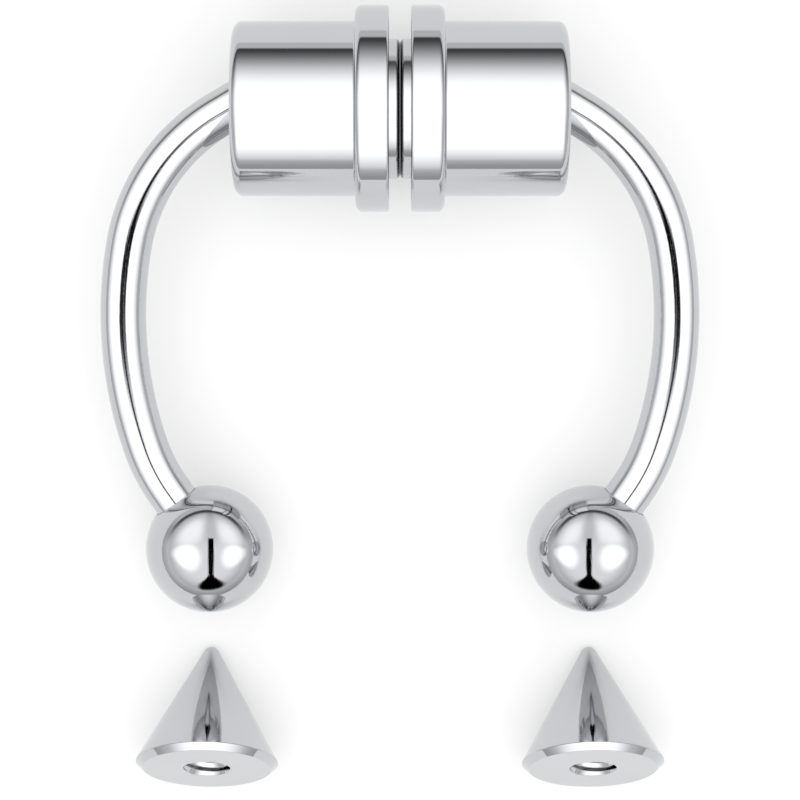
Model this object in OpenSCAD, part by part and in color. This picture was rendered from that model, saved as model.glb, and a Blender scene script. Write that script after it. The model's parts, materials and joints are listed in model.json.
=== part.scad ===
// Magnetic septum ring: two mirrored halves that meet at a pair of disc magnets, lying on its side,
// with a pair of spare cone ends lying beside it.
// The ring's own plane holds the bars and the balls. X runs along the magnets' axis, Y points from
// the balls to the housings, and Z is up. All sizes are millimetres.

/* [Magnet housing] */
// Radius of the housing's plain body
body_r = 2; // [1.85:0.05:2.2]
// Distance from the ring's middle to the housing's outer end face
body_end = 3.8; // [3.6:0.02:4.2]
// Rounding of the outer end's edge
body_edge_r = 0.2; // [0.1:0.05:0.4]
// Radius of the collar beside the magnet
collar_r = 2.36; // [2.3:0.02:2.6]
// Distance from the ring's middle to the collar's inner face
collar_face = 0.25; // [0.2:0.05:0.4]
// Length of the collar along the housing
collar_len = 0.77; // [0.6:0.01:1]
// Rounding of the collar's edge on the body's side
collar_edge_r = 0.15; // [0.05:0.05:0.25]

/* [Magnet] */
// Radius of the magnet disc
magnet_r = 1.6; // [1.3:0.05:1.7]
// Distance from the ring's middle to the magnet's face, half of the thin gap between the magnets
magnet_face = 0.03; // [0.02:0.01:0.06]
// Depth that the magnet sits inside the housing
magnet_seat = 1.5; // [1:0.05:1.7]
// Rounding of the magnet's front edge
magnet_edge_r = 0.1; // [0.05:0.01:0.14]

/* [Bar] */
// Radius of the round bar
bar_r = 0.53; // [0.5:0.01:0.6]
// Angle between the bar and the magnets' axis where it leaves the housing
bar_lean = 30.4; // [28:0.2:33]
// Distance from the magnets' axis to the point where the bar leaves the housing
bar_rise = 0.1; // [0:0.005:0.15]
// Straight length of the bar inside the housing
bar_seat = 0.9; // [0.6:0.05:1]
// Straight length of the bar just outside the housing
bar_lead = 0.455; // [0.4:0.005:0.5]
// Bend radius of the shoulder, next to the housing
shoulder_bend_r = 4.38; // [4.1:0.01:4.7]
// Angle turned at the shoulder
shoulder_sweep = 49; // [46:0.2:52]
// Bend radius of the long side
side_bend_r = 9.58; // [9.2:0.02:10]
// Angle turned along the side
side_sweep = 28.5; // [26:0.5:31]
// Bend radius of the foot, next to the ball
foot_bend_r = 4.2; // [3.7:0.02:4.7]
// Angle turned at the foot
foot_sweep = 16.4; // [14:0.1:19]
// Straight distance from the end of the last bend to the ball's centre
foot_run = 1.7; // [1.6:0.05:1.9]

/* [Threaded end] */
// Radius over the crests of the thread on the bar's end
thread_r = 0.47; // [0.42:0.01:0.48]
// Length of the thread, from the bar's shoulder to its tip
thread_len = 1.5; // [1.2:0.05:1.6]

/* [Ball] */
// Radius of the ball
ball_r = 1.5; // [1.4:0.05:1.6]
// Depth that the bar's shoulder sinks below the top of the ball
shoulder_sink = 0.19; // [0.14:0.01:0.25]

/* [Spare cone end] */
// Radius of the cone where it is widest
cone_r = 1.69; // [1.5:0.01:1.9]
// Angle between the cone's axis and its flank
cone_half_angle = 28.5; // [26:0.5:32]
// Radius of the rounded tip
tip_r = 0.2; // [0.1:0.05:0.25]
// Height of the bevel round the base
bevel_h = 0.15; // [0.05:0.05:0.25]
// Width of the bevel round the base
bevel_w = 0.17; // [0.05:0.01:0.3]
// Depth of the threaded hole in the base
cone_bore_len = 1.7; // [1.6:0.05:1.8]
// Clear distance between the ball and the cone's tip, along Y
cone_gap = 1.04; // [0.5:0.02:1.6]
// Distance from the ring's middle to each cone's axis, along X
cone_x = 4.58; // [4:0.01:5]

/* [Hidden] */
$fn = 96;

// Running clearance round a seated piece, on the radius, and the gap left behind it
fit_gap = 0.015;
end_gap = 0.02;
// Extra length of a cutting tool past the surface that it opens
past = 1;
// Recess in the ball that takes the bar's full width
recess_r = bar_r + 0.03;
recess_gap = 0.03;
bore_r = thread_r + fit_gap;

// Width of the fine band over each joint between bends, and its height above the bar
band_len = 0.04;
band_proud = 0.002;

// Directions in the ring's plane for the left half, from the angle between the bar and -X
function along(h) = [-cos(h), -sin(h)];
function inward(h) = [sin(h), -cos(h)];
function arc_end(p, h, r, sweep) = p + r * inward(h) - r * inward(h + sweep);

// Angles and end points of the bar's stretches, from the housing to the ball
shoulder_h = bar_lean;
side_h = shoulder_h + shoulder_sweep;
foot_h = side_h + side_sweep;
post_h = foot_h + foot_sweep;
face_pt = [-body_end, bar_rise];
shoulder_pt = face_pt + bar_lead * along(shoulder_h);
side_pt = arc_end(shoulder_pt, shoulder_h, shoulder_bend_r, shoulder_sweep);
foot_pt = arc_end(side_pt, side_h, side_bend_r, side_sweep);
run_pt = arc_end(foot_pt, foot_h, foot_bend_r, foot_sweep);
ball_pt = run_pt + foot_run * along(post_h);

// Distance from the ball's centre to the bar's shoulder and to the floor of the recess round it
shoulder_out = ball_r - shoulder_sink;
recess_out = shoulder_out - recess_gap;
bore_end = thread_len - shoulder_out + end_gap;

// Distances along the cone's axis, from the point where its flanks would meet
tip_centre = tip_r / sin(cone_half_angle);
tip_top = tip_centre - tip_r;
widest = cone_r / tan(cone_half_angle);
cone_base = widest + bevel_h;
base_r = cone_r - bevel_w;

// The ring lies on its collars and its balls, so its plane leans by the difference of their radii.
// A cone lies along its flank, with its tip towards the ball.
ring_lean = asin((collar_r - ball_r) / -ball_pt[1]);
axis_z = collar_r;
ball_low_y = ball_pt[1] * cos(ring_lean) - ball_r;
apex_y = ball_low_y - cone_gap - tip_r + tip_centre * cos(cone_half_angle);
cone_low_y = apex_y - cone_base * cos(cone_half_angle) - base_r * sin(cone_half_angle);
// Shift that puts the middle of the whole part's length at Y = 0
axis_y = -(collar_r + cone_low_y) / 2;

// Puts a piece drawn in the ring's plane where the ring lies
module lay_ring() {
    translate([0, axis_y, axis_z])
        rotate([ring_lean, 0, 0])
            children();
}

// Draws a piece of the left half as it is, or turned over about Y for the right half, which is the
// same as mirroring it because each half is alike on both faces of the ring's plane
module on_side(right) {
    lay_ring()
        rotate([0, right ? 180 : 0, 0])
            children();
}

// Turns Z to the direction of the bar at angle h, in the ring's plane
module point_along(p, h) {
    translate([p[0], p[1], 0])
        rotate([0, 0, h])
            rotate([0, -90, 0])
                children();
}

// Outline square from x0 to x1 and out to r, with its outer corners rounded by e0 and e1
module turned_outline(x0, x1, r, e0, e1) {
    difference() {
        translate([x0, 0])
            square([x1 - x0, r]);
        if (e0 > 0)
            translate([x0, r])
                corner_waste(e0);
        if (e1 > 0)
            translate([x1, r])
                mirror([1, 0])
                    corner_waste(e1);
    }
}

// What a rounding of radius e takes off an outer corner at the origin
module corner_waste(e) {
    difference() {
        translate([-past, -e])
            square([past + e, past + e]);
        translate([e, -e])
            circle(e);
        translate([e, -e - past])
            square([past, 2 * past + e]);
        translate([-past, -e - past])
            square([2 * past, past]);
    }
}

// Turns an outline drawn along X into a solid about the X axis
module turn_about_x() {
    rotate([0, 90, 0])
        rotate_extrude()
            rotate(90)
                mirror([0, 1])
                    children();
}

// Cup with a collar at its mouth, a blind hole for the magnet and a slanted hole for the bar
module housing_shape() {
    difference() {
        union() {
            turn_about_x()
                turned_outline(-body_end, -collar_face - collar_len / 2, body_r, body_edge_r, 0);
            turn_about_x()
                turned_outline(-collar_face - collar_len, -collar_face, collar_r, collar_edge_r, 0);
        }
        translate([-collar_face - magnet_seat - end_gap, 0, 0])
            rotate([0, 90, 0])
                cylinder(r = magnet_r + fit_gap, h = magnet_seat + end_gap + past);
        point_along(face_pt, shoulder_h)
            translate([0, 0, -bar_seat - end_gap])
                cylinder(r = bar_r + fit_gap, h = bar_seat + end_gap + past);
    }
}

// Disc that stands a little proud of the collar, with a rounded front edge
module magnet_shape() {
    turn_about_x()
        turned_outline(-collar_face - magnet_seat, -magnet_face, magnet_r, 0, magnet_edge_r);
}

// One bend of the bar, turning by sweep from angle h at point p
module bend(p, h, r, sweep) {
    centre = p + r * inward(h);
    translate([centre[0], centre[1], 0])
        rotate([0, 0, 90 + h])
            rotate_extrude(angle = sweep)
                translate([r, 0])
                    circle(bar_r);
}

// Hair-fine band that joins two tangent stretches of the bar into one solid
module joint_band(p, h) {
    point_along(p, h)
        translate([0, 0, -band_len / 2])
            cylinder(r = bar_r + band_proud, h = band_len);
}

// Round bar: a straight seat in the housing, three tangent bends, and a thinner threaded end
module bar_shape() {
    point_along(face_pt, shoulder_h)
        translate([0, 0, -bar_seat])
            cylinder(r = bar_r, h = bar_seat + bar_lead);
    joint_band(shoulder_pt, shoulder_h);
    bend(shoulder_pt, shoulder_h, shoulder_bend_r, shoulder_sweep);
    joint_band(side_pt, side_h);
    bend(side_pt, side_h, side_bend_r, side_sweep);
    joint_band(foot_pt, foot_h);
    bend(foot_pt, foot_h, foot_bend_r, foot_sweep);
    joint_band(run_pt, post_h);
    point_along(run_pt, post_h) {
        cylinder(r = bar_r, h = foot_run - shoulder_out);
        translate([0, 0, foot_run - shoulder_out])
            cylinder(r = thread_r, h = thread_len);
    }
}

// Ball with a blind threaded hole and a recess that the bar's shoulder sinks into
module ball_shape() {
    difference() {
        translate([ball_pt[0], ball_pt[1], 0])
            sphere(ball_r);
        point_along(ball_pt, post_h) {
            translate([0, 0, -past - ball_r])
                cylinder(r = bore_r, h = past + ball_r + bore_end);
            translate([0, 0, -past - ball_r])
                cylinder(r = recess_r, h = past + ball_r - recess_out);
        }
    }
}

// Cone about Z with a rounded tip and a bevelled base, its flanks meeting at the origin
module cone_shape() {
    flank_z = tip_centre - tip_r * sin(cone_half_angle);
    flank_r = tip_r * cos(cone_half_angle);
    difference() {
        rotate_extrude()
            intersection() {
                union() {
                    polygon([
                        [0, flank_z], [flank_r, flank_z], [cone_r, widest], [base_r, cone_base], [0, cone_base]
                    ]);
                    translate([0, tip_centre])
                        circle(tip_r);
                }
                square([2 * cone_r, cone_base + past]);
            }
        translate([0, 0, cone_base - cone_bore_len])
            cylinder(r = bore_r, h = cone_bore_len + past);
    }
}

// Lays a cone on its flank at distance x from the middle
module laid_cone(x) {
    translate([x, axis_y + apex_y, 0])
        rotate([90 - cone_half_angle, 0, 0])
            cone_shape();
}

module left_housing() {
    color("silver") on_side(false) housing_shape();
}
module left_magnet() {
    color("gainsboro") on_side(false) magnet_shape();
}
module left_bar() {
    color("silver") on_side(false) bar_shape();
}
module left_ball() {
    color("lightgray") on_side(false) ball_shape();
}
module right_housing() {
    color("silver") on_side(true) housing_shape();
}
module right_magnet() {
    color("gainsboro") on_side(true) magnet_shape();
}
module right_bar() {
    color("silver") on_side(true) bar_shape();
}
module right_ball() {
    color("lightgray") on_side(true) ball_shape();
}
module left_spare_cone() {
    color("lightgray") laid_cone(-cone_x);
}
module right_spare_cone() {
    color("lightgray") laid_cone(cone_x);
}

left_housing();
left_magnet();
left_bar();
left_ball();
right_housing();
right_magnet();
right_bar();
right_ball();
left_spare_cone();
right_spare_cone();
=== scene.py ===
"""Dresses the magnetic septum ring and its spare cone ends, and sets the studio round them.

Each piece of the ring is a surface worked out with numpy at the size and place of its solid, in
polished steel or plated magnet. Sizes are millimetres until a mesh is made, and metres after that.
"""

import json
import logging
import math
from dataclasses import dataclass
from enum import Enum

import bpy
import numpy as np
from mathutils import Matrix, Vector


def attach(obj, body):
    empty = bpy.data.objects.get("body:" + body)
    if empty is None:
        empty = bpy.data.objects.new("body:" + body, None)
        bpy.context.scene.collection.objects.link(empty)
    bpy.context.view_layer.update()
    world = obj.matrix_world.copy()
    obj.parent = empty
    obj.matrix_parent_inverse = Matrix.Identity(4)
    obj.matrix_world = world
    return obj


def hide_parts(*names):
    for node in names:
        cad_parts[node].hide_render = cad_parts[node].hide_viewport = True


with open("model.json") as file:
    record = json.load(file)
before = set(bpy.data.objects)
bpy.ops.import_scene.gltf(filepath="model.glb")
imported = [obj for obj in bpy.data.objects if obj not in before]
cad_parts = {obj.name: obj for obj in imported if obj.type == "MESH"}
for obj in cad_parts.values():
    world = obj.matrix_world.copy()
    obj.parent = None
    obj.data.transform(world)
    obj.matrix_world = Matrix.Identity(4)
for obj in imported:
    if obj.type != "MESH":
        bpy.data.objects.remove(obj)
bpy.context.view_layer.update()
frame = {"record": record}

MM = 0.001
ALONG = "along"
NEAR_AXIS = 0.02

Points = np.ndarray
Socket = bpy.types.NodeSocket
Value = bpy.types.NodeSocket | float

LOG = logging.getLogger("septum_ring")


class Side(Enum):
    """The two halves of the ring, with the sign of X that each one lies on."""

    LEFT = -1
    RIGHT = 1

    @property
    def word(self) -> str:
        """The side's name as the nodes spell it."""
        return self.name.lower()


class Slot(Enum):
    """The record's material slots."""

    STEEL = "polished_steel"
    MAGNET = "plated_magnet"


def smooth(low: float, high: float, value: Points) -> Points:
    """Smooth step from 0 at low to 1 at high: t squared times (3 - 2t), with t cut to 0..1.

    Args:
        low: Value where the step starts.
        high: Value where the step ends.
        value: Values to step, in an array.
    Returns:
        The stepped values.
    """
    t = np.clip((value - low) / (high - low), 0.0, 1.0)
    return t * t * (3.0 - 2.0 * t)


def run(start: Points, end: Points, count: int) -> Points:
    """Straight stretch from start to end whose points crowd at both ends, by half a cosine wave.

    Args:
        start: First point.
        end: Last point.
        count: Number of points, with both ends.
    Returns:
        Points of shape (count, dimensions).
    """
    t = 0.5 - 0.5 * np.cos(np.linspace(0.0, math.pi, count))
    return start + (end - start) * t[:, None]


def fillet(before: Points, corner: Points, after: Points, radius: float, count: int) -> Points:
    """Arc of a given radius that touches both sides of a corner.

    The arc's centre lies on the corner's bisector, and its points are the centre plus the radius
    times the unit vector that turns from one tangent point to the other.

    Args:
        before: A point on the side that leads to the corner.
        corner: The sharp corner.
        after: A point on the side that leaves it.
        radius: Radius of the rounding.
        count: Number of points on the arc.
    Returns:
        Points of shape (count, 2).
    """
    to_before = (before - corner) / np.linalg.norm(before - corner)
    to_after = (after - corner) / np.linalg.norm(after - corner)
    half = 0.5 * math.acos(float(np.clip(to_before @ to_after, -1.0, 1.0)))
    bisector = (to_before + to_after) / np.linalg.norm(to_before + to_after)
    centre = corner + bisector * radius / math.sin(half)
    first = corner + to_before * radius / math.tan(half) - centre
    last = corner + to_after * radius / math.tan(half) - centre
    sweep = math.acos(float(np.clip(first @ last / radius**2, -1.0, 1.0)))
    turn = math.copysign(1.0, first[0] * last[1] - first[1] * last[0])
    angle = turn * np.linspace(0.0, sweep, count)
    across = np.array([-first[1], first[0]])
    return centre + np.cos(angle)[:, None] * first + np.sin(angle)[:, None] * across


@dataclass(frozen=True)
class Corner:
    """One corner of a turned outline: its place along the axis, its radius and its rounding."""

    along: float
    radius: float
    rounding: float = 0.0


def turned_outline(*corners: Corner, run_count: int = 14, arc_count: int = 10) -> Points:
    """Outline for a lathe: straight runs between corners, each corner rounded by an arc.

    Args:
        corners: The corners in order. The first and last are end points and aren't rounded.
        run_count: Points on each straight run.
        arc_count: Points on each arc.
    Returns:
        Points of shape (n, 2), as (place along the axis, radius).
    """
    spots = [np.array([c.along, c.radius]) for c in corners]
    arcs = [spots[0][None, :]]
    for before, spot, after, corner in zip(spots, spots[1:], spots[2:], corners[1:]):
        arcs.append(fillet(before, spot, after, corner.rounding, arc_count))
    arcs.append(spots[-1][None, :])
    pieces = [arcs[0]]
    for left, right in zip(arcs, arcs[1:]):
        pieces += [run(left[-1], right[0], run_count)[1:-1], right]
    return np.concatenate(pieces)


def plain_wall(start: float, end: float, radius: float, count: int) -> Points:
    """Evenly spaced stretch of an outline at one radius, close enough for a bend or a thread.

    Args:
        start: Place along the axis where it starts. That point itself is left out.
        end: Place where it ends.
        radius: Its radius.
        count: Number of points, with the one that is left out.
    Returns:
        Points of shape (count - 1, 2).
    """
    place = np.linspace(start, end, count)[1:]
    return np.stack([place, np.full_like(place, radius)], axis=1)


def circle_angles(count: int) -> Points:
    """Angles of count points round a circle, without the repeat of the first."""
    return np.linspace(0.0, 2.0 * math.pi, count, endpoint=False)


def turned_rings(outline: Points, angle: Points) -> Points:
    """Rings of a lathe form about X: (along, radius cos a, radius sin a).

    Args:
        outline: Points of shape (n, 2), as (place along the axis, radius).
        angle: Angle of each point of a ring.
    Returns:
        Points of shape (n, around, 3).
    """
    along = np.repeat(outline[:, :1], len(angle), axis=1)
    return np.stack([along, outline[:, 1:] * np.cos(angle), outline[:, 1:] * np.sin(angle)], axis=2)


def outward_faces(points: Points, count: int, around: int) -> list[list[int]]:
    """Faces of a stack of rings: quads between neighbouring rings, and a fan at each end.

    Six times the volume that the faces close is the sum of their triangles' triple products. If it
    comes out negative, the faces are turned round, so they always point outwards.

    Args:
        points: The rings' points in order and then the two poles, of shape (n, 3).
        count: Number of rings.
        around: Points on each ring.
    Returns:
        Corner numbers of each face.
    """
    here = np.arange(around)
    step = (here + 1) % around
    row = np.arange(count - 1)[:, None] * around
    quads = np.stack([row + here, row + step, row + around + step, row + around + here], axis=2)
    quads = quads.reshape(-1, 4)
    last_row = (count - 1) * around
    pole = np.full(around, count * around)
    start_fan = np.stack([pole, step, here], axis=1)
    end_fan = np.stack([pole + 1, last_row + here, last_row + step], axis=1)
    fans = np.concatenate([start_fan, end_fan])
    triangles = np.concatenate([quads[:, [0, 1, 2]], quads[:, [0, 2, 3]], fans])
    a, b, c = (points[triangles[:, k]] for k in range(3))
    turn = -1 if np.einsum("ij,ij->", a, np.cross(b, c)) < 0.0 else 1
    return quads[:, ::turn].tolist() + fans[:, ::turn].tolist()


def closed_mesh(name: str, rings: Points, along: Points) -> bpy.types.Object:
    """Smooth closed mesh from a stack of rings. Its poles are the middles of the end rings.

    Args:
        name: Name of the new object.
        rings: Points of shape (rings, around, 3), in millimetres.
        along: Place of each ring along the piece, which the turning marks follow.
    Returns:
        The new object, at the origin.
    """
    count, around = rings.shape[:2]
    poles = np.stack([rings[0].mean(axis=0), rings[-1].mean(axis=0)])
    points = np.concatenate([rings.reshape(-1, 3), poles]) * MM
    mesh = bpy.data.meshes.new(name)
    mesh.from_pydata(points.tolist(), [], outward_faces(points, count, around))
    mesh.shade_smooth()
    places = mesh.attributes.new(ALONG, "FLOAT", "POINT")
    values = np.concatenate([np.repeat(along, around), along[:1], along[-1:]])
    places.data.foreach_set("value", values.astype(np.float32))
    mesh.validate()
    made = bpy.data.objects.new(name, mesh)
    bpy.context.scene.collection.objects.link(made)
    return made


@dataclass(frozen=True)
class Thread:
    """A fine screw thread: its radius over the crests, its depth, its pitch and its lead-in.

    The flank is the part of each half turn in which the thread climbs.
    """

    crest_r: float
    depth: float
    pitch: float
    lead: float
    flank: tuple[float, float] = (0.08, 0.92)

    @property
    def root_r(self) -> float:
        """Radius at the bottom of the thread's grooves."""
        return self.crest_r - self.depth

    def height(self, along: Points, angle: Points, length: float) -> Points:
        """Height of the thread over its root at a place and an angle.

        A rounded wave of one pitch climbs with the angle, so its crest is a helix. It is nothing
        outside the thread's length, and rises from the root over the lead-in at both ends.

        Args:
            along: Place along the thread, from its start.
            angle: Angle round the axis.
            length: Whole length of the thread.
        Returns:
            The height, in the arrays' joint shape.
        """
        turn = along / self.pitch - angle / (2.0 * math.pi)
        wave = smooth(*self.flank, np.abs(2.0 * (turn - np.floor(turn)) - 1.0))
        ends = smooth(0.0, self.lead, along) * smooth(0.0, self.lead, length - along)
        return self.depth * wave * ends


@dataclass(frozen=True)
class Lie:
    """How the ring lies: its plane leans about X, with the magnets' axis at a place in Y and Z."""

    lean: float
    axis_y: float
    axis_z: float

    def place(self, points: Points, side: Side) -> Points:
        """Moves points drawn for the left half, in the ring's plane, to where the ring lies.

        The right half is the left one turned half a turn about the ring's own Y. Then Y and Z turn
        about X by the lean, and the axis' place is added.

        Args:
            points: Points of shape (..., 3).
            side: The half that the points are for.
        Returns:
            The moved points.
        """
        flip = -side.value
        x = points[..., 0] * flip
        y = points[..., 1]
        z = points[..., 2] * flip
        cos_lean = math.cos(self.lean)
        sin_lean = math.sin(self.lean)
        lying_y = self.axis_y + y * cos_lean - z * sin_lean
        lying_z = self.axis_z + y * sin_lean + z * cos_lean
        return np.stack([x, lying_y, lying_z], axis=-1)


class NodeTree:
    """A small helper that adds nodes to a material, light or world and links them."""

    def __init__(self, tree: bpy.types.NodeTree) -> None:
        """Starts on an empty tree."""
        self.tree = tree
        tree.nodes.clear()

    def add(self, kind: str, settings: dict | None = None, **inputs: object) -> bpy.types.Node:
        """Adds one node.

        Args:
            kind: Name of the node's class.
            settings: Attributes of the node itself, by name.
            inputs: Values or output sockets for the inputs, by name with _ for a space, or by
                number as n0, n1 and so on.
        Returns:
            The new node.
        """
        node = self.tree.nodes.new(kind)
        for name, value in (settings or {}).items():
            setattr(node, name, value)
        for name, value in inputs.items():
            numbered = name[0] == "n" and name[1:].isdigit()
            socket = node.inputs[int(name[1:])] if numbered else node.inputs[name.replace("_", " ")]
            if isinstance(value, bpy.types.NodeSocket):
                self.tree.links.new(value, socket)
            else:
                socket.default_value = value
        return node

    def math(self, operation: str, first: Value, second: Value = 0.0) -> Socket:
        """Adds a math node.

        Args:
            operation: Name of the operation.
            first: First value or socket.
            second: Second value or socket, for an operation that takes two.
        Returns:
            Output socket of the result.
        """
        return self.add("ShaderNodeMath", {"operation": operation}, n0=first, n1=second).outputs[0]

    def ramp(self, value: Value, low: Value, high: Value, out_low: Value, out_high: Value) -> Socket:
        """Maps a value by a smooth step.

        Args:
            value: Value or socket to map.
            low: Value where the step starts.
            high: Value where the step ends.
            out_low: Result up to the start.
            out_high: Result from the end on.
        Returns:
            Output socket of the result.
        """
        settings = {"interpolation_type": "SMOOTHSTEP", "clamp": True}
        inputs = {"n1": low, "n2": high, "n3": out_low, "n4": out_high}
        return self.add("ShaderNodeMapRange", settings, Value=value, **inputs).outputs[0]

    def line(self, share: Value, at_zero: Value, at_one: Value) -> Socket:
        """Mixes two values in a straight line.

        Args:
            share: Share of the second value, from 0 to 1.
            at_zero: Result at share 0.
            at_one: Result at share 1.
        Returns:
            Output socket of the result.
        """
        inputs = {"n0": share, "n2": at_zero, "n3": at_one}
        return self.add("ShaderNodeMix", {"data_type": "FLOAT"}, **inputs).outputs[0]

    def mix(self, share: Socket, first: Socket | tuple, second: Socket | tuple) -> Socket:
        """Mixes two colours, each a socket or four numbers, by the share of the second."""
        inputs = {"n0": share, "n6": first, "n7": second}
        return self.add("ShaderNodeMix", {"data_type": "RGBA"}, **inputs).outputs[2]

    def noise(self, vector: Socket, scale: float, detail: float = 2.0, rough: float = 0.5) -> Socket:
        """Adds a noise texture.

        Args:
            vector: Socket of the place.
            scale: Number of noise cells to a metre.
            detail: Number of finer layers.
            rough: Share that each finer layer keeps.
        Returns:
            Output socket of the noise, about 0.5 on average.
        """
        inputs = {"Vector": vector, "Scale": scale, "Detail": detail, "Roughness": rough}
        return self.add("ShaderNodeTexNoise", None, **inputs).outputs[0]

    def unit_parts(self, towards: Socket) -> bpy.types.bpy_prop_collection:
        """Splits a vector into its X, Y and Z sockets."""
        return self.add("ShaderNodeSeparateXYZ", None, Vector=towards).outputs


@dataclass(frozen=True)
class Finish:
    """A polished metal: its colour, gloss and the fine marks that polishing leaves.

    Turning marks are fine rings that follow the piece's own length, and hairlines are short faint
    scratches that lie every way. Layers are a noise's number of finer layers and the share that
    each keeps.
    """

    name: str
    colour: tuple[float, float, float]
    shade: tuple[float, float, float]
    roughness: float
    dull: float
    ring_scale: float
    ring_depth: float
    hairline_depth: float
    cloud_scale: float = 420.0
    cloud_layers: tuple[float, float] = (3.0, 0.6)
    ring_layers: tuple[float, float] = (4.0, 0.7)
    tint_clouds: tuple[float, float] = (0.3, 0.7)
    dull_clouds: tuple[float, float] = (0.35, 0.75)
    hairline_stretch: tuple[float, float, float] = (6000.0, 500.0, 500.0)
    hairline_turns: tuple[tuple[float, float, float], ...] = ((0.3, 0.5, 0.7), (1.2, 0.2, 2.1))
    hairline_layers: tuple[float, float] = (2.0, 0.6)
    hairline_width: float = 0.02

    def build(self) -> bpy.types.Material:
        """Builds the material.

        The colour drifts between two close tints in soft clouds. The roughness rises in clouds and
        along the turning marks. Two bumps in a row carry the marks and the hairlines.

        Returns:
            The finished material.
        """
        material = bpy.data.materials.new(self.name)
        material.use_nodes = True
        nodes = NodeTree(material.node_tree)
        place = nodes.add("ShaderNodeTexCoord").outputs["Object"]
        along = nodes.add("ShaderNodeAttribute", {"attribute_name": ALONG}).outputs["Fac"]
        clouds = nodes.noise(place, self.cloud_scale, *self.cloud_layers)
        tint = self.tint(nodes, clouds, along)
        rings = self.turning_marks(nodes, along)
        hairlines = self.hairlines(nodes, place)
        wear = nodes.math("ADD", nodes.ramp(clouds, *self.dull_clouds, 0.0, 1.0), rings)
        rough = nodes.ramp(wear, 0.0, 2.0, self.roughness, self.dull)
        bump = nodes.add("ShaderNodeBump", None, Distance=self.ring_depth, Height=rings).outputs[0]
        scratched = {"Distance": self.hairline_depth, "Height": hairlines, "Normal": bump}
        bump = nodes.add("ShaderNodeBump", None, **scratched).outputs[0]
        metal = {"Metallic": 1.0, "Roughness": rough, "Base_Color": tint, "Normal": bump}
        shader = nodes.add("ShaderNodeBsdfPrincipled", None, **metal)
        nodes.add("ShaderNodeOutputMaterial", None, Surface=shader.outputs[0])
        return material

    def tint(self, nodes: NodeTree, clouds: Socket, along: Socket) -> Socket:
        """Colour of the metal, which drifts between its two tints.

        Args:
            nodes: Tree to add to.
            clouds: Socket of the soft clouds.
            along: Socket of the place along the piece. Not used by the plain finish.
        Returns:
            Output socket of the colour.
        """
        drift = nodes.ramp(clouds, *self.tint_clouds, 0.0, 1.0)
        return nodes.mix(drift, (*self.colour, 1.0), (*self.shade, 1.0))

    def turning_marks(self, nodes: NodeTree, along: Socket) -> Socket:
        """Height of the turning marks: noise that changes only with the place along the piece.

        Args:
            nodes: Tree to add to.
            along: Socket of the place along the piece.
        Returns:
            Output socket of the height, from 0 to 1.
        """
        line = nodes.add("ShaderNodeCombineXYZ", None, X=along).outputs[0]
        return nodes.noise(line, self.ring_scale, *self.ring_layers)

    def hairlines(self, nodes: NodeTree, place: Socket) -> Socket:
        """Height of the hairlines: the thin crests of two noises drawn out in crossing directions.

        Args:
            nodes: Tree to add to.
            place: Socket of the place on the piece.
        Returns:
            Output socket of the height, from 0 to 1.
        """
        crests = []
        for turn in self.hairline_turns:
            inputs = {"Vector": place, "Rotation": turn, "Scale": self.hairline_stretch}
            drawn = nodes.add("ShaderNodeMapping", None, **inputs)
            value = nodes.noise(drawn.outputs[0], 1.0, *self.hairline_layers)
            away = nodes.math("ABSOLUTE", nodes.math("SUBTRACT", value, 0.5))
            crests.append(nodes.ramp(away, 0.0, self.hairline_width, 1.0, 0.0))
        return nodes.math("MAXIMUM", *crests)


@dataclass(frozen=True)
class RimmedFinish(Finish):
    """A polished metal with painted shade on the rounded rim of its face: a dark line of colour that
    stands in for the shadow in the crevice where the two magnets meet.

    The painted shade sets in between the rim's first two places along the piece, and is gone between
    the last two.
    """

    rim: tuple[float, float, float, float] = (-0.085, -0.045, -0.012, -0.006)
    # The colour below is painted shade: near black on the rim, standing in for the shadow in the gap
    # between the magnets.
    grime: tuple[float, float, float] = (0.08, 0.08, 0.084)

    def tint(self, nodes: NodeTree, clouds: Socket, along: Socket) -> Socket:
        """Colour of the metal, which turns to the dark painted shade on the rim, standing in for the
        shadow in the gap between the magnets.

        Args:
            nodes: Tree to add to.
            clouds: Socket of the soft clouds.
            along: Socket of the place along the piece.
        Returns:
            Output socket of the colour.
        """
        # Painted shade: the colour darkens to near black on the face's rim, for the shadow in the
        # magnets' gap.
        rise = nodes.ramp(along, *self.rim[:2], 0.0, 1.0)
        share = nodes.math("MULTIPLY", rise, nodes.ramp(along, *self.rim[2:], 1.0, 0.0))
        return nodes.mix(share, super().tint(nodes, clouds, along), (*self.grime, 1.0))


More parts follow.
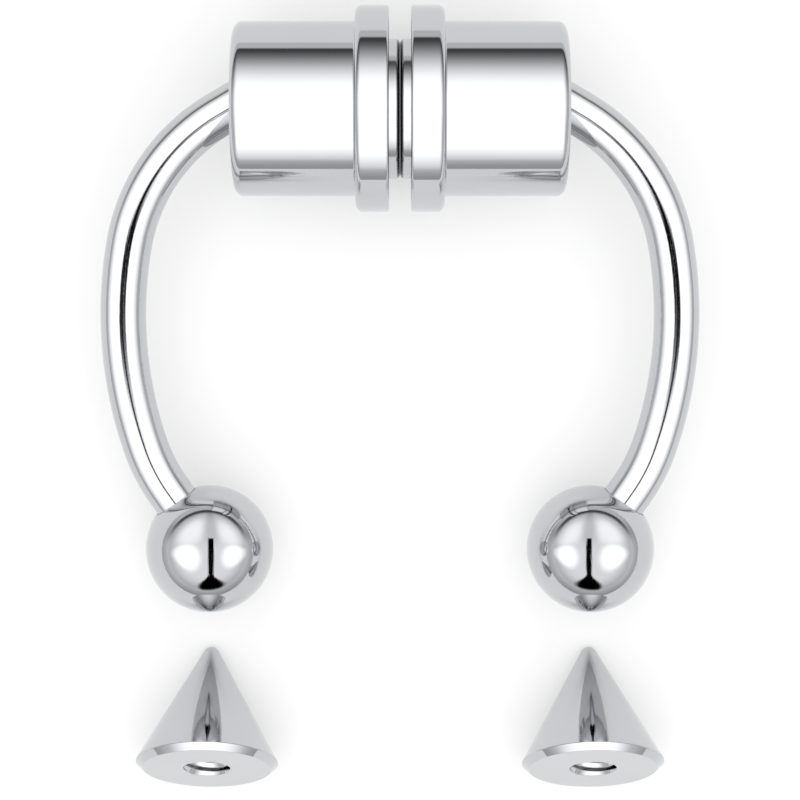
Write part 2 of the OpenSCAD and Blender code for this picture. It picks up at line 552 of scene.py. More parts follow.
@dataclass(frozen=True)
class Sky:
    """Brightness of the studio by direction, as a formula of the angle from straight up.

    Brightness falls by a smooth step from the overhead tone to a low tone. Behind the housings and
    beside the ring the fall has its own start and end, and a pale backdrop stands behind.
    """

    overhead: float = 2.0
    low_front: float = 0.6
    low_side: float = 0.78
    low_back: float = 0.1
    fall_start: float = 48.0
    fall_start_side: float = 48.0
    fall_start_back: float = 18.0
    fall_end: float = 90.0
    fall_end_side: float = 90.0
    fall_end_back: float = 78.0
    backdrop: float = 0.95
    backdrop_start: float = 79.0
    backdrop_end: float = 82.0
    join_start: float = 71.0
    join_end: float = 77.0
    side_share: tuple[float, float] = (0.4, 0.9)
    back_share: tuple[float, float] = (0.1, 0.8)
    past_one: float = 1.0001

    def angle(self, nodes: NodeTree, towards: Socket) -> Socket:
        """Angle in degrees between a unit vector and straight up: the arc cosine of its Z.

        Args:
            nodes: Tree to add to.
            towards: Socket of the unit vector.
        Returns:
            Output socket of the angle.
        """
        return nodes.math("DEGREES", nodes.math("ARCCOSINE", nodes.unit_parts(towards)["Z"]))

    def tone(self, nodes: NodeTree, towards: Socket) -> Socket:
        """Brightness in a direction.

        The share that counts as behind the housings is a smooth step of y / sqrt(1 - z squared), and
        the share that counts as beside the ring is one of |x| / sqrt(1 - z squared). Every size is
        mixed by those shares. A hair more than 1 stands under the root, so it is never zero.

        Args:
            nodes: Tree to add to.
            towards: Output socket of the unit vector.
        Returns:
            Output socket of the brightness.
        """
        parts = nodes.unit_parts(towards)
        angle = self.angle(nodes, towards)
        squares = nodes.math("SUBTRACT", self.past_one, nodes.math("MULTIPLY", parts["Z"], parts["Z"]))
        flat = nodes.math("SQRT", squares)
        beside = nodes.math("DIVIDE", nodes.math("ABSOLUTE", parts["X"]), flat)
        side = nodes.ramp(beside, *self.side_share, 0.0, 1.0)
        behind = nodes.math("DIVIDE", parts["Y"], flat)
        back = nodes.ramp(behind, *self.back_share, 0.0, 1.0)
        start = nodes.line(side, self.fall_start, self.fall_start_side)
        start = nodes.line(back, start, self.fall_start_back)
        end = nodes.line(back, nodes.line(side, self.fall_end, self.fall_end_side), self.fall_end_back)
        low = nodes.line(back, nodes.line(side, self.low_front, self.low_side), self.low_back)
        fall = nodes.ramp(angle, start, end, self.overhead, low)
        below = nodes.ramp(angle, self.backdrop_start, self.backdrop_end, 0.0, 1.0)
        return nodes.line(nodes.math("MULTIPLY", back, below), fall, self.backdrop)

    def overhead_share(self, nodes: NodeTree, towards: Socket) -> Socket:
        """Share of the light that comes from the soft boxes: 1 overhead and 0 lower down.

        Args:
            nodes: Tree to add to.
            towards: Socket of the unit vector.
        Returns:
            Output socket of the share.
        """
        return nodes.ramp(self.angle(nodes, towards), self.join_start, self.join_end, 1.0, 0.0)


OPEN_SKY = Sky(fall_start_side=14.0, fall_end_side=76.0, low_side=0.58)


@dataclass(frozen=True)
class DarkLine:
    """Pattern of the soft box over a bar: its reflection is the dark line down the bar.

    Each place on the bar reflects one line of the box, and all of these lines cross in one middle,
    each at its own slope. So the box is black round the middle, and further out it is black only
    at the slopes of the bar's own middle. That leaves a thinner line at both ends of the bar.
    """

    flip: float
    sky: Sky = Sky(fall_start_back=44.0, fall_end_back=84.0, low_back=0.45)
    middle: tuple[float, float] = (2.0, -10.0)
    core: float = 5.0
    line_half: float = 15.5
    line_soft: float = 3.0
    lower_slopes: tuple[float, float] = (0.0, 0.25)
    outer_slopes: tuple[float, float] = (-0.4, -0.18)
    inner_slopes: tuple[float, float] = (-0.8, -0.18)
    turn: float = 4.0

    def share(self, nodes: NodeTree, sideways: Socket, forwards: Socket) -> Socket:
        """Share of the plain brightness in a direction.

        The slope is v u / (u squared + core squared), with u and v the angles away from the middle.

        Args:
            nodes: Tree to add to.
            sideways: Socket of the angle towards +X, in degrees.
            forwards: Socket of the angle towards +Y, in degrees.
        Returns:
            Output socket of the share.
        """
        inwards = nodes.math("MULTIPLY", sideways, self.flip)
        u = nodes.math("SUBTRACT", inwards, self.middle[0])
        v = nodes.math("SUBTRACT", forwards, self.middle[1])
        squares = nodes.math("ADD", nodes.math("MULTIPLY", u, u), self.core**2)
        slope = nodes.math("DIVIDE", nodes.math("MULTIPLY", u, v), squares)
        off = nodes.math("ABSOLUTE", u)
        inner = self.line_half - self.line_soft
        across = nodes.ramp(off, inner, self.line_half + self.line_soft, 1.0, 0.0)
        inside = nodes.ramp(u, -self.turn, self.turn, 0.0, 1.0)
        rise = nodes.line(inside, self.outer_slopes[0], self.inner_slopes[0])
        full = nodes.line(inside, self.outer_slopes[1], self.inner_slopes[1])
        upper = nodes.ramp(slope, rise, full, 0.0, 1.0)
        lower = nodes.ramp(slope, *self.lower_slopes, 1.0, 0.0)
        dark = nodes.math("MULTIPLY", across, nodes.math("MULTIPLY", upper, lower))
        return nodes.math("SUBTRACT", 1.0, dark)


@dataclass(frozen=True)
class TwoLobes:
    """Pattern of the soft box over a ball: two bright lobes with a dark slit between them.

    The slit widens towards the viewer, and each lobe has a bright middle and a fainter one above.
    """

    shift: float
    sky: Sky = Sky(fall_start_back=52.0, fall_end_back=92.0, low_back=0.5)
    lobe: tuple[float, float] = (46.0, -11.0)
    upper_lobe: tuple[float, float] = (42.0, 38.0)
    lobe_size: float = 34.0
    plain: float = 0.62
    bright: float = 1.12
    upper_bright: float = 0.82
    slit_half: float = 5.2
    slit_foot_half: float = 44.0
    slit_foot: tuple[float, float] = (-72.0, -40.0)
    slit_top: tuple[float, float] = (23.0, 27.0)
    slit_edge: tuple[float, float] = (0.8, 1.15)
    valley_depth: float = 0.25
    valley_width: tuple[float, float] = (3.0, 24.0)
    valley_start: tuple[float, float] = (0.0, 30.0)

    def lobe_at(
        self, nodes: NodeTree, off: Socket, forwards: Socket, lobe: tuple[float, float]
    ) -> Socket:
        """A soft round lobe: 1 in its middle and 0 past its size, by the squared distance.

        Args:
            nodes: Tree to add to.
            off: Socket of the angle away from the slit, in degrees.
            forwards: Socket of the angle towards +Y, in degrees.
            lobe: Those two angles at the lobe's middle.
        Returns:
            Output socket of the lobe's height.
        """
        x = nodes.math("DIVIDE", nodes.math("SUBTRACT", off, lobe[0]), self.lobe_size)
        y = nodes.math("DIVIDE", nodes.math("SUBTRACT", forwards, lobe[1]), self.lobe_size)
        squares = nodes.math("ADD", nodes.math("MULTIPLY", x, x), nodes.math("MULTIPLY", y, y))
        return nodes.ramp(squares, 0.0, 1.0, 1.0, 0.0)

    def slit(self, nodes: NodeTree, off: Socket, forwards: Socket) -> Socket:
        """The dark slit: 1 inside it, with a foot that widens towards the viewer.

        Args:
            nodes: Tree to add to.
            off: Socket of the angle away from the slit, in degrees.
            forwards: Socket of the angle towards +Y, in degrees.
        Returns:
            Output socket of the slit's depth.
        """
        half = nodes.ramp(forwards, *self.slit_foot, self.slit_foot_half, self.slit_half)
        across = nodes.ramp(nodes.math("DIVIDE", off, half), *self.slit_edge, 1.0, 0.0)
        return nodes.math("MULTIPLY", across, nodes.ramp(forwards, *self.slit_top, 1.0, 0.0))

    def share(self, nodes: NodeTree, sideways: Socket, forwards: Socket) -> Socket:
        """Share of the plain brightness in a direction.

        Args:
            nodes: Tree to add to.
            sideways: Socket of the angle towards +X, in degrees.
            forwards: Socket of the angle towards +Y, in degrees.
        Returns:
            Output socket of the share.
        """
        off = nodes.math("ABSOLUTE", nodes.math("SUBTRACT", sideways, self.shift))
        lower = self.lobe_at(nodes, off, forwards, self.lobe)
        upper = self.lobe_at(nodes, off, forwards, self.upper_lobe)
        lobes = nodes.math(
            "MAXIMUM",
            nodes.line(lower, self.plain, self.bright),
            nodes.line(upper, self.plain, self.upper_bright),
        )
        middle = nodes.ramp(off, *self.valley_width, self.valley_depth, 0.0)
        reach = nodes.ramp(forwards, *self.valley_start, 0.0, 1.0)
        valley = nodes.math("MULTIPLY", middle, reach)
        dark = nodes.math("MAXIMUM", self.slit(nodes, off, forwards), valley)
        return nodes.math("MULTIPLY", lobes, nodes.math("SUBTRACT", 1.0, dark))


@dataclass(frozen=True)
class SoftBox:
    """A square soft box high overhead that lights only its own pieces."""

    name: str
    pattern: DarkLine | TwoLobes | None = None
    height: float = 0.5
    half_size: float = 2.95

    def set_up(self, receivers: list[bpy.types.Object]) -> None:
        """Makes the box and limits its light to the given pieces.

        Its brightness is the sky's tone in the direction of each point of its face, times the share
        that soft boxes give there, times the box's own pattern. Sideways is the angle
        atan(x / z) and forwards is atan(y / z).

        Args:
            receivers: Objects that it lights.
        """
        data = bpy.data.lights.new(self.name, "AREA")
        data.shape = "SQUARE"
        data.size = 2.0 * self.half_size
        data.energy = math.pi * data.size**2
        data.use_nodes = True
        nodes = NodeTree(data.node_tree)
        spot = nodes.add("ShaderNodeNewGeometry").outputs["Position"]
        unit = nodes.add("ShaderNodeVectorMath", {"operation": "NORMALIZE"}, n0=spot)
        towards = unit.outputs[0]
        sky = self.pattern.sky if self.pattern else OPEN_SKY
        bright = nodes.math("MULTIPLY", sky.tone(nodes, towards), sky.overhead_share(nodes, towards))
        if self.pattern:
            parts = nodes.unit_parts(towards)
            sideways = nodes.math("DEGREES", nodes.math("ARCTAN2", parts["X"], parts["Z"]))
            forwards = nodes.math("DEGREES", nodes.math("ARCTAN2", parts["Y"], parts["Z"]))
            bright = nodes.math("MULTIPLY", bright, self.pattern.share(nodes, sideways, forwards))
        shader = nodes.add("ShaderNodeEmission", None, Strength=bright)
        nodes.add("ShaderNodeOutputLight", None, Surface=shader.outputs[0])
        lamp = bpy.data.objects.new(self.name, data)
        lamp.location = (0.0, 0.0, self.height)
        bpy.context.scene.collection.objects.link(lamp)
        group = bpy.data.collections.new(f"{self.name}_pieces")
        for thing in receivers:
            group.objects.link(thing)
        lamp.light_linking.receiver_collection = group


@dataclass
class Route:
    """The bar's centre line in the ring's plane, for the left half: straight and bent stretches.

    A heading is the angle between the bar's direction and -X, turning towards -Y. A stretch is its
    length and the angle that it turns by.
    """

    start: tuple[float, float]
    heading: float
    stretches: list[tuple[float, float]]

    def __post_init__(self) -> None:
        """Works out each stretch's start, heading, bend and place along the route."""
        spot = np.array(self.start)
        heading = math.radians(self.heading)
        spots, headings, bends = [], [], []
        for length, turn in self.stretches:
            spots.append(spot)
            headings.append(heading)
            bends.append(turn / length)
            spot = spot + self.travel(heading, length, bends[-1])
            heading += turn
        self.spots = np.array(spots)
        self.headings = np.array(headings)
        self.bends = np.array(bends)
        self.places = np.cumsum([0.0] + [length for length, _ in self.stretches])
        self.end = spot

    @staticmethod
    def travel(heading: Points, length: Points, bend: Points) -> Points:
        """Vector from a stretch's start to a point on it.

        An arc of length s and bend k has a chord of s sin(s k / 2) / (s k / 2), at its heading
        halfway. With k = 0 the same formula gives a straight line. The unit vector of travel at a
        heading is (-cos h, -sin h).

        Args:
            heading: Heading at the stretch's start.
            length: Length from the start to the point.
            bend: One over the bend's radius, or 0 on a straight stretch.
        Returns:
            Vectors of shape (..., 2).
        """
        half_turn = 0.5 * length * bend
        halfway = heading + half_turn
        chord = length * np.sinc(half_turn / math.pi)
        return chord[..., None] * np.stack([-np.cos(halfway), -np.sin(halfway)], axis=-1)

    def carry(self, place: Points, radius: Points) -> Points:
        """Rings carried along the route: centre + r (cos a inward + sin a Z), square to the route.

        The inward unit vector at a heading is (sin h, -cos h). Places before the route's start and
        after its end go on straight.

        Args:
            place: Distance along the route of each ring, of shape (n,).
            radius: Radius at each point of each ring, of shape (n, around).
        Returns:
            Points of shape (n, around, 3), in the ring's plane.
        """
        index = np.clip(np.searchsorted(self.places, place, side="right") - 1, 0, len(self.bends) - 1)
        on_route = np.clip(place, 0.0, self.places[-1])
        inside = on_route - self.places[index]
        heading = self.headings[index] + inside * self.bends[index]
        centre = self.spots[index] + self.travel(self.headings[index], inside, self.bends[index])
        centre += self.travel(heading, place - on_route, 0.0)
        angle = circle_angles(radius.shape[1])
        inward = np.stack([np.sin(heading), -np.cos(heading)], axis=1)
        flat = centre[:, None, :] + (radius * np.cos(angle))[..., None] * inward[:, None, :]
        return np.concatenate([flat, (radius * np.sin(angle))[..., None]], axis=2)


@dataclass(frozen=True)
class BarSizes:
    """Sizes of the bar and its threaded end, shared by the housing and the ball it fits."""

    radius: float = 0.53
    lean: float = 30.4
    seat: float = 0.9
    lead: float = 0.455
    shoulder_bend_r: float = 4.38
    shoulder_sweep: float = 49.0
    side_bend_r: float = 9.58
    side_sweep: float = 28.5
    foot_bend_r: float = 4.2
    foot_sweep: float = 16.4
    foot_run: float = 1.7
    thread_len: float = 1.5
    start_x: float = -3.8
    rise: float = 0.1
    clearance: float = 0.015
    end_gap: float = 0.02

    def route(self) -> Route:
        """The bar's centre line from the housing's end face to the ball's centre.

        Returns:
            The route: its straight lead, its three bends and the straight run into the ball.
        """
        bends = [
            (self.shoulder_bend_r, math.radians(self.shoulder_sweep)),
            (self.side_bend_r, math.radians(self.side_sweep)),
            (self.foot_bend_r, math.radians(self.foot_sweep)),
        ]
        bent = [(bend_r * sweep, sweep) for bend_r, sweep in bends]
        stretches = [(self.lead, 0.0), *bent, (self.foot_run, 0.0)]
        return Route((self.start_x, self.rise), self.lean, stretches)


BAR = BarSizes()
THREAD = Thread(crest_r=0.47, depth=0.07, pitch=0.25, lead=0.16)


@dataclass(frozen=True)
class ThreadedHole:
    """Blind hole for the bar's thread, the same in the balls and the cones."""

    foot_r: float = 0.05
    foot_len: float = 0.1

    @property
    def radius(self) -> float:
        """Radius at the bottom of the grooves, which clears the bar's thread by its own depth."""
        return THREAD.crest_r + BAR.clearance + THREAD.depth

    def outline(self, floor: float, mouth: float, count: int) -> Points:
        """Outline from the middle of the hole's floor to the end of its wall.

        Args:
            floor: Place of the floor along the axis.
            mouth: Place where the wall ends, on either side of the floor.
            count: Points on the wall.
        Returns:
            Points of shape (n, 2).
        """
        above = floor + math.copysign(self.foot_len, mouth - floor)
        foot = Corner(floor, self.radius, self.foot_r)
        bottom = turned_outline(Corner(floor, NEAR_AXIS), foot, Corner(above, self.radius))
        return np.concatenate([bottom, plain_wall(above, mouth, self.radius, count)])


HOLE = ThreadedHole()


@dataclass(frozen=True)
class Dressed:
    """A piece that stands for one solid: its object, its body, its finish and its own light."""

    thing: bpy.types.Object
    node: str
    body: str
    slot: Slot
    pattern: DarkLine | TwoLobes | None = None

    def settle(self, material: bpy.types.Material) -> None:
        """Gives the piece its material, hangs it on its body's empty and hides the solid that it
        stands for.

        Args:
            material: The material of its slot.
        """
        self.thing.data.materials.append(material)
        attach(self.thing, self.body)
        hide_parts(self.node)
        LOG.info("%s: %d faces, on %s", self.thing.name, len(self.thing.data.polygons), self.body)


@dataclass
class Housing:
    """Turned cup with a collar at its mouth, a blind hole for the magnet and a slanted hole."""

    body_r: float = 2.0
    end_x: float = -3.8
    end_edge_r: float = 0.2
    collar_r: float = 2.36
    collar_x: float = -0.25
    collar_len: float = 0.77
    collar_edge_r: float = 0.15
    collar_lip_r: float = 0.06
    groove_r: float = 0.03
    magnet_hole_r: float = 1.615
    magnet_hole_len: float = 1.52
    mouth_edge: float = 0.03
    hole_foot_r: float = 0.06
    magnet_foot_r: float = 0.05
    face_r: float = 1.1
    around: int = 192
    wall_count: int = 12
    lip_count: int = 9
    face_count: int = 16

    def hole_rings(self, angle: Points) -> tuple[Points, Points]:
        """Rings of the slanted hole, from its floor to its mouth and out over the end face.

        The wall is ruled along the bar's direction D, up to the place r cos(a) tan(lean) where it
        meets the end face. There a quadratic curve rounds the mouth, and straight lines lead from
        the mouth's oval to a circle on the face.

        Args:
            angle: Angles round the hole.
        Returns:
            Rings of shape (n, around, 3), and their places along the piece.
        """
        lean = math.radians(BAR.lean)
        hole_r = BAR.radius + BAR.clearance
        depth = BAR.seat + BAR.end_gap
        outward = np.array([-math.cos(lean), -math.sin(lean), 0.0])
        inward = np.array([math.sin(lean), -math.cos(lean), 0.0])
        up = np.array([0.0, 0.0, 1.0])
        middle = np.array([self.end_x, BAR.rise, 0.0])
        spoke = np.cos(angle)[:, None] * inward + np.sin(angle)[:, None] * up
        floor = turned_outline(
            Corner(-depth, NEAR_AXIS),
            Corner(-depth, hole_r, self.hole_foot_r),
            Corner(-0.5 * depth, hole_r),
        )
        plain = middle + floor[:, None, :1] * outward + floor[:, None, 1:] * spoke
        reach = hole_r * np.cos(angle) * math.tan(lean)
        mouth = middle + hole_r * spoke + reach[:, None] * outward
        below = mouth - self.mouth_edge * outward
        flat = np.stack([0.0 * angle, -np.cos(angle), np.sin(angle)], axis=1)
        beside = mouth + self.mouth_edge * flat
        wall = run(0.0, 1.0, self.wall_count)[1:, None] * (below - plain[-1]) + plain[-1]
        t = np.linspace(0.0, 1.0, self.lip_count)[1:, None, None]
        lip = (1.0 - t) ** 2 * below + 2.0 * t * (1.0 - t) * mouth + t**2 * beside
        rim = self.face_r * flat
        rim[:, 0] = self.end_x
        face = run(0.0, 1.0, self.face_count)[1:-1, None] * (rim - beside) + beside
        rings = np.concatenate([plain, wall, lip, face])
        return rings, np.linspace(self.end_x + depth, self.end_x, len(rings))

    def outline(self) -> Points:
        """Outline of the turned form, from the end face round the body and collar into the cup.

        Returns:
            Points of shape (n, 2), as (place along the axis, radius).
        """
        floor_x = self.collar_x - self.magnet_hole_len
        shoulder_x = self.collar_x - self.collar_len
        return turned_outline(
            Corner(self.end_x, self.face_r),
            Corner(self.end_x, self.body_r, self.end_edge_r),
            Corner(shoulder_x, self.body_r, self.groove_r),
            Corner(shoulder_x, self.collar_r, self.collar_edge_r),
            Corner(self.collar_x, self.collar_r, self.collar_lip_r),
            Corner(self.collar_x, self.magnet_hole_r, self.mouth_edge),
            Corner(floor_x, self.magnet_hole_r, self.magnet_foot_r),
            Corner(floor_x, NEAR_AXIS),
            run_count=13,
            arc_count=12,
        )

    def dress(self, side: Side, lie: Lie) -> Dressed:
        """Builds one half's housing. Its turned rings start where the hole's rings do, towards -Y.

        Args:
            side: The half that it belongs to.
            lie: How the ring lies.
        Returns:
            The housing, ready to settle.
        """
        angle = circle_angles(self.around)
        hole, hole_along = self.hole_rings(angle)
        outline = self.outline()
        rings = np.concatenate([hole, turned_rings(outline, math.pi - angle)])
        along = np.concatenate([hole_along, outline[:, 0]])
        made = closed_mesh(f"{side.word}_housing_shell", lie.place(rings, side), along)
        return Dressed(made, f"{side.word}_housing", f"{side.word}_half", Slot.STEEL)


@dataclass
class Magnet:
    """Plated disc that stands a little proud of the collar."""

    radius: float = 1.6
    face_x: float = -0.004
    back_x: float = -1.75
    face_edge_r: float = 0.1
    back_edge_r: float = 0.05
    around: int = 160

    def dress(self, side: Side, lie: Lie) -> Dressed:
        """Builds one half's magnet. The right one has a body of its own between the two halves.

        Args:
            side: The half that it belongs to.
            lie: How the ring lies.
        Returns:
            The magnet, ready to settle.
        """
        outline = turned_outline(
            Corner(self.back_x, NEAR_AXIS),
            Corner(self.back_x, self.radius, self.back_edge_r),
            Corner(self.face_x, self.radius, self.face_edge_r),
            Corner(self.face_x, NEAR_AXIS),
            run_count=12,
            arc_count=12,
        )
        rings = lie.place(turned_rings(outline, circle_angles(self.around)), side)
        made = closed_mesh(f"{side.word}_magnet_disc", rings, outline[:, 0])
        body = "left_half" if side is Side.LEFT else "right_magnet_disc"
        return Dressed(made, f"{side.word}_magnet", body, Slot.MAGNET)


@dataclass
class Bar:
    """Round bar in three tangent bends, with a turned-down threaded end."""

    seat_edge_r: float = 0.06
    shoulder_edge_r: float = 0.05
    neck_edge_r: float = 0.02
    neck_len: float = 0.05
    tip_edge_r: float = 0.08
    tip_len: float = 0.096
    around: int = 72
    bend_count: int = 320
    thread_count: int = 100

    def outline(self, shoulder: float) -> Points:
        """Outline carried along the route: the seat's end, the bar, its shoulder and the thread.

        Args:
            shoulder: Place of the shoulder along the route.
        Returns:
            Points of shape (n, 2).
        """
        tip = shoulder + BAR.thread_len
        seat = turned_outline(
            Corner(-BAR.seat, NEAR_AXIS),
            Corner(-BAR.seat, BAR.radius, self.seat_edge_r),
            Corner(-0.5 * BAR.seat, BAR.radius),
        )
        bent_end = shoulder - self.shoulder_edge_r
        bent = plain_wall(seat[-1, 0], bent_end, BAR.radius, self.bend_count)[:-1]
        neck = turned_outline(
            Corner(shoulder - 2.0 * self.shoulder_edge_r, BAR.radius),
            Corner(shoulder, BAR.radius, self.shoulder_edge_r),
            Corner(shoulder, THREAD.root_r, self.neck_edge_r),
            Corner(shoulder + self.neck_len, THREAD.root_r),
        )
        neck = neck[neck[:, 0] >= bent_end]
        thread = plain_wall(neck[-1, 0], tip - self.tip_len, THREAD.root_r, self.thread_count)
        end = turned_outline(
            Corner(thread[-1, 0], THREAD.root_r),
            Corner(tip, THREAD.root_r, self.tip_edge_r),
            Corner(tip, NEAR_AXIS),
        )
        return np.concatenate([seat, bent, neck, thread, end[1:]])

    def dress(self, side: Side, lie: Lie) -> Dressed:
        """Builds one half's bar by carrying its outline along the route.

        Args:
            side: The half that it belongs to.
            lie: How the ring lies.
        Returns:
            The bar, ready to settle.
        """
        route = BAR.route()
        shoulder = route.places[-1] - (Ball.radius - Ball.sink)
        outline = self.outline(shoulder)
        thread = THREAD.height(outline[:, :1] - shoulder, circle_angles(self.around), BAR.thread_len)
        rings = route.carry(outline[:, 0], outline[:, 1:] + thread)
        made = closed_mesh(f"{side.word}_bent_bar", lie.place(rings, side), outline[:, 0])
        line = DarkLine(flip=-side.value)
        return Dressed(made, f"{side.word}_bar", f"{side.word}_half", Slot.STEEL, line)


@dataclass
class Ball:
    """Ball with a blind threaded hole and a recess that the bar's shoulder sinks into."""

    radius: float = 1.5
    sink: float = 0.19
    recess_r: float = 0.56
    recess_gap: float = 0.03
    recess_edge_r: float = 0.01
    mouth_edge_r: float = 0.03
    mouth_clear: float = 1.5
    neck_len: float = 0.06
    pole_stop: float = 0.01
    around: int = 144
    arc_count: int = 130
    thread_count: int = 80
    slit_shift: float = 7.0

    def outline(self) -> Points:
        """Outline from the hole's floor to its mouth and over the ball to the far pole.

        The ball's own part is the circle (-R cos t, R sin t), from the mouth to the far side. It
        starts past the recess's edge by mouth_clear times the rounding there.

        Returns:
            Points of shape (n, 2), with 0 at the ball's centre.
        """
        recess = -(self.radius - self.sink - self.recess_gap)
        floor = BAR.thread_len - (self.radius - self.sink) + BAR.end_gap
        hole = HOLE.outline(floor, recess + self.neck_len, self.thread_count)
        past_edge = self.mouth_clear * self.mouth_edge_r / self.radius
        start = math.asin(self.recess_r / self.radius) + past_edge
        t = np.linspace(start, math.pi - self.pole_stop, self.arc_count)
        arc = np.stack([-self.radius * np.cos(t), self.radius * np.sin(t)], axis=1)
        mouth = turned_outline(
            Corner(hole[-1, 0], HOLE.radius),
            Corner(recess, HOLE.radius, self.recess_edge_r),
            Corner(recess, self.recess_r, self.recess_edge_r),
            Corner(-math.sqrt(self.radius**2 - self.recess_r**2), self.recess_r, self.mouth_edge_r),
            Corner(*arc[0]),
            run_count=6,
        )
        return np.concatenate([hole, mouth[1:], arc[1:]])

    def dress(self, side: Side, lie: Lie) -> Dressed:
        """Builds one half's ball, turned so that its hole meets the bar's end.

        Args:
            side: The half that it belongs to.
            lie: How the ring lies.
        Returns:
            The ball, ready to settle.
        """
        route = BAR.route()
        outline = self.outline()
        floor = outline[0, 0]
        length = floor + self.radius - self.sink
        thread = THREAD.height(floor - outline[:, :1], circle_angles(self.around), length)
        bore = (outline[:, :1] < floor) & (outline[:, 1:] < self.recess_r)
        radius = outline[:, 1:] - np.where(bore, thread, 0.0)
        rings = route.carry(route.places[-1] + outline[:, 0], radius)
        made = closed_mesh(f"{side.word}_end_ball", lie.place(rings, side), outline[:, 0])
        lobes = TwoLobes(shift=-self.slit_shift * side.value)
        return Dressed(made, f"{side.word}_ball", f"{side.word}_half", Slot.STEEL, lobes)


@dataclass
class SpareCone:
    """Spare cone end: a rounded tip, a straight flank, a bevelled base and a threaded hole."""

    widest_r: float = 1.69
    half_angle: float = 28.5
    tip_r: float = 0.2
    bevel_h: float = 0.15
    bevel_w: float = 0.17
    hole_len: float = 1.7
    edge_r: float = 0.025
    mouth_edge_r: float = 0.03
    mouth_len: float = 0.06
    tip_start: float = 0.05
    tip_count: int = 24
    around: int = 144
    thread_count: int = 90

    @property
    def base(self) -> float:
        """Place of the base along the axis, from the point where the flanks would meet."""
        return self.widest_r / math.tan(math.radians(self.half_angle)) + self.bevel_h

    def outline(self) -> Points:
        """Outline from the tip over the flank and bevel, then down the hole to its floor.

        The tip is the circle (c - r cos p, r sin p) from the axis to where it touches the flank.

        Returns:
            Points of shape (n, 2).
        """
        half = math.radians(self.half_angle)
        p = np.linspace(self.tip_start, 0.5 * math.pi - half, self.tip_count)
        centre = self.tip_r / math.sin(half)
        tip = np.stack([centre - self.tip_r * np.cos(p), self.tip_r * np.sin(p)], axis=1)
        mouth = self.base - self.mouth_len
        flank = turned_outline(
            Corner(*tip[-1]),
            Corner(self.base - self.bevel_h, self.widest_r, self.edge_r),
            Corner(self.base, self.widest_r - self.bevel_w, self.edge_r),
            Corner(self.base, HOLE.radius, self.mouth_edge_r),
            Corner(mouth, HOLE.radius),
            run_count=20,
        )
        hole = HOLE.outline(self.base - self.hole_len, mouth, self.thread_count)
        return np.concatenate([tip, flank[1:-1], hole[::-1]])

    def dress(self, side: Side) -> Dressed:
        """Builds the cone below one of the balls, where the frame's mount says that its hole is.

        Args:
            side: The side of the ring that it lies on.
        Returns:
            The cone, ready to settle.
        """
        mount = find_mount(f"{side.word}_cone_thread")
        axis = np.array(mount["axis"], dtype=float)
        axis /= np.linalg.norm(axis)
        middle = np.array(mount["pos_m"]) / MM
        apex = middle - (self.base - 0.5 * self.hole_len) * axis
        across = np.array([1.0, 0.0, 0.0])
        up = np.cross(across, axis)
        outline = self.outline()
        angle = circle_angles(self.around)
        thread = THREAD.height(self.base - outline[:, :1], angle, self.hole_len)
        bore = np.arange(len(outline))[:, None] > np.argmax(outline[:, 0])
        radius = outline[:, 1:] - np.where(bore, thread, 0.0)
        spoke = (radius * np.cos(angle))[..., None] * across + (radius * np.sin(angle))[..., None] * up
        rings = apex + outline[:, None, :1] * axis + spoke
        made = closed_mesh(f"{side.word}_cone_end", rings, outline[:, 0])
        return Dressed(made, f"{side.word}_spare_cone", "left_half", Slot.STEEL)


def find_mount(name: str) -> dict:
    """The record's mount of that name."""
    return next(m for m in frame["record"]["mounts"] if m["name"] == name)


def ring_lie() -> Lie:
    """How the ring lies: its axis from the frame, its lean from the sizes of collar and ball.

    The ring rests on its collars and its balls, so the sine of the lean is the difference of their
    radii over the distance from the magnets' axis to the balls.

    Returns:
        The ring's lean and its axis' place.
    """
    _, axis_y, axis_z = (v / MM for v in find_mount("septum_gap")["pos_m"])
    ball_y = BAR.route().end[1]
    return Lie(math.asin((Housing.collar_r - Ball.radius) / -ball_y), axis_y, axis_z)


@dataclass
class Camera:
    """Camera over the ring, aimed below the magnets' axis as in the photograph."""

    aim_below: float = 6.75
    tilt: float = 2.5
    distance: float = 50.0
    lens: float = 96.1
    sensor: float = 36.0
    nearest: float = 0.0005
    furthest: float = 10.0

    def set_up(self, lie: Lie) -> None:
        """Makes the camera: its place is the aim plus the distance along the line of sight.

        The line of sight leans from straight up towards the housings by the tilt.

        Args:
            lie: How the ring lies.
        """
        tilt = math.radians(self.tilt)
        up = Vector((0.0, math.cos(tilt), -math.sin(tilt)))
        normal = Vector((0.0, math.sin(tilt), math.cos(tilt)))
        aim = Vector((0.0, lie.axis_y, lie.axis_z))
        aim -= self.aim_below * Vector((0.0, math.cos(lie.lean), math.sin(lie.lean)))
        data = bpy.data.cameras.new("studio_camera")
        data.lens = self.lens
        data.sensor_width = self.sensor
        data.clip_start = self.nearest
        data.clip_end = self.furthest
        made = bpy.data.objects.new("studio_camera", data)
        bpy.context.scene.collection.objects.link(made)
        turn = Matrix((Vector((1.0, 0.0, 0.0)), up, normal)).transposed()
        made.matrix_world = Matrix.Translation((aim + self.distance * normal) * MM) @ turn.to_4x4()
        bpy.context.scene.camera = made


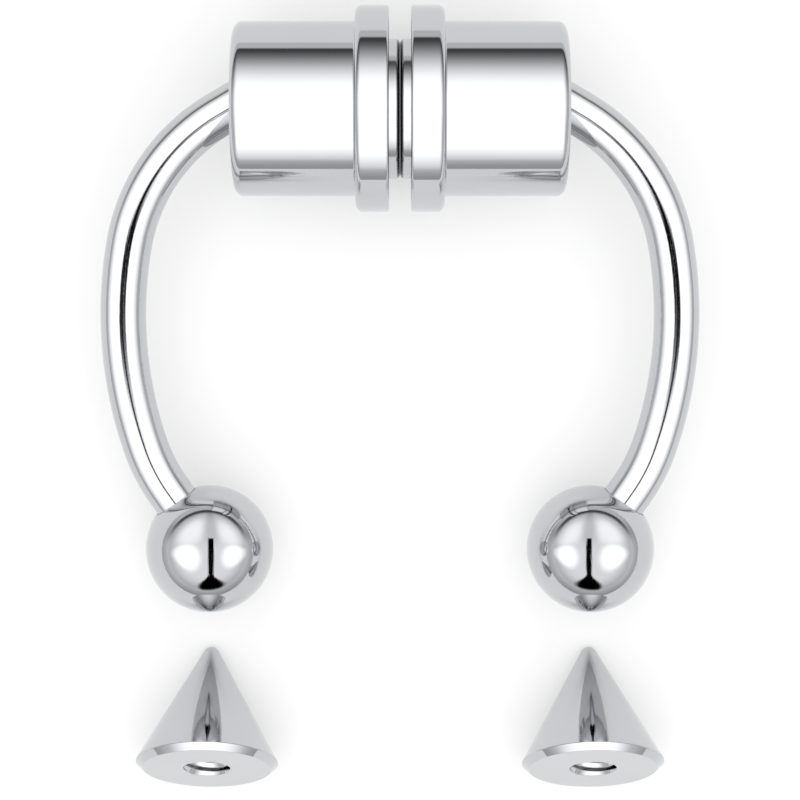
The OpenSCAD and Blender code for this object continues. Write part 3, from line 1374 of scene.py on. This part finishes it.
@dataclass
class Studio:
    """Plain pale floor, the sky of the studio round it and the soft boxes overhead."""

    floor_half: float = 1.5
    floor_tones: tuple[float, float] = (0.495, 0.505)
    floor_clouds: tuple[float, float] = (0.2, 0.8)
    floor_cloud_scale: float = 30.0
    floor_glow: float = 0.4
    seen: float = 1.2
    sky: Sky = Sky()

    def lay_floor(self) -> bpy.types.Object:
        """Makes the floor: one flat square, matt and pale, with very soft clouds in it.

        It glows a little, as a light table does, so the pieces' shadows on it stay faint.

        Returns:
            The floor.
        """
        half = self.floor_half
        mesh = bpy.data.meshes.new("studio_floor")
        corners = [(-half, -half, 0.0), (half, -half, 0.0), (half, half, 0.0), (-half, half, 0.0)]
        mesh.from_pydata(corners, [], [(0, 1, 2, 3)])
        floor = bpy.data.objects.new("studio_floor", mesh)
        bpy.context.scene.collection.objects.link(floor)
        material = bpy.data.materials.new("pale_floor")
        material.use_nodes = True
        nodes = NodeTree(material.node_tree)
        place = nodes.add("ShaderNodeTexCoord").outputs["Object"]
        clouds = nodes.noise(place, self.floor_cloud_scale)
        tone = nodes.ramp(clouds, *self.floor_clouds, *self.floor_tones)
        colour = nodes.add("ShaderNodeCombineColor", None, Red=tone, Green=tone, Blue=tone)
        matt = nodes.add("ShaderNodeBsdfDiffuse", None, Color=colour.outputs[0])
        glow = nodes.add("ShaderNodeEmission", None, Strength=self.floor_glow)
        shader = nodes.add("ShaderNodeAddShader", None, n0=matt.outputs[0], n1=glow.outputs[0])
        nodes.add("ShaderNodeOutputMaterial", None, Surface=shader.outputs[0])
        mesh.materials.append(material)
        return floor

    def light_world(self) -> None:
        """Lights the studio all round, less what the soft boxes give overhead."""
        world = bpy.data.worlds.new("studio_light")
        world.use_nodes = True
        bpy.context.scene.world = world
        nodes = NodeTree(world.node_tree)
        towards = nodes.add("ShaderNodeTexCoord").outputs["Generated"]
        left = nodes.math("SUBTRACT", 1.0, self.sky.overhead_share(nodes, towards))
        bright = nodes.math("MULTIPLY", self.sky.tone(nodes, towards), left)
        seen = nodes.add("ShaderNodeLightPath").outputs["Is Camera Ray"]
        shader = nodes.add("ShaderNodeBackground", None, Strength=nodes.line(seen, bright, self.seen))
        nodes.add("ShaderNodeOutputWorld", None, Surface=shader.outputs[0])

    def set_up(self, pieces: list[Dressed]) -> None:
        """Lays the floor, lights the studio and shows bright tones as they are.

        Args:
            pieces: The dressed pieces. One with a pattern gets a soft box of its own.
        """
        shared = [self.lay_floor()]
        self.light_world()
        for piece in pieces:
            if piece.pattern is None:
                shared.append(piece.thing)
            else:
                SoftBox(f"{piece.node}_softbox", piece.pattern).set_up([piece.thing])
        SoftBox("open_softbox").set_up(shared)
        bpy.context.scene.view_settings.view_transform = "Standard"


STEEL = Finish(
    name="polished_steel",
    colour=(0.545, 0.553, 0.57),
    shade=(0.53, 0.538, 0.555),
    roughness=0.035,
    dull=0.07,
    ring_scale=34.0,
    ring_depth=0.00000018,
    hairline_depth=0.0000001,
)
# The plated finish paints shade on its face's rim, for the shadow in the gap between the two magnets.
PLATED = RimmedFinish(
    name="plated_magnet",
    colour=(0.53, 0.535, 0.545),
    shade=(0.51, 0.516, 0.528),
    roughness=0.07,
    dull=0.14,
    ring_scale=26.0,
    ring_depth=0.0000003,
    hairline_depth=0.00000015,
)


def main() -> None:
    """Builds the ring's pieces and its studio."""
    logging.basicConfig(level=logging.INFO, format="%(message)s")
    lie = ring_lie()
    Camera().set_up(lie)
    materials = {Slot.STEEL: STEEL.build(), Slot.MAGNET: PLATED.build()}
    pieces = [part.dress(side, lie) for side in Side for part in (Housing(), Magnet(), Bar(), Ball())]
    pieces += [SpareCone().dress(side) for side in Side]
    for piece in pieces:
        piece.settle(materials[piece.slot])
    Studio().set_up(pieces)


if __name__ == "__main__":
    main()
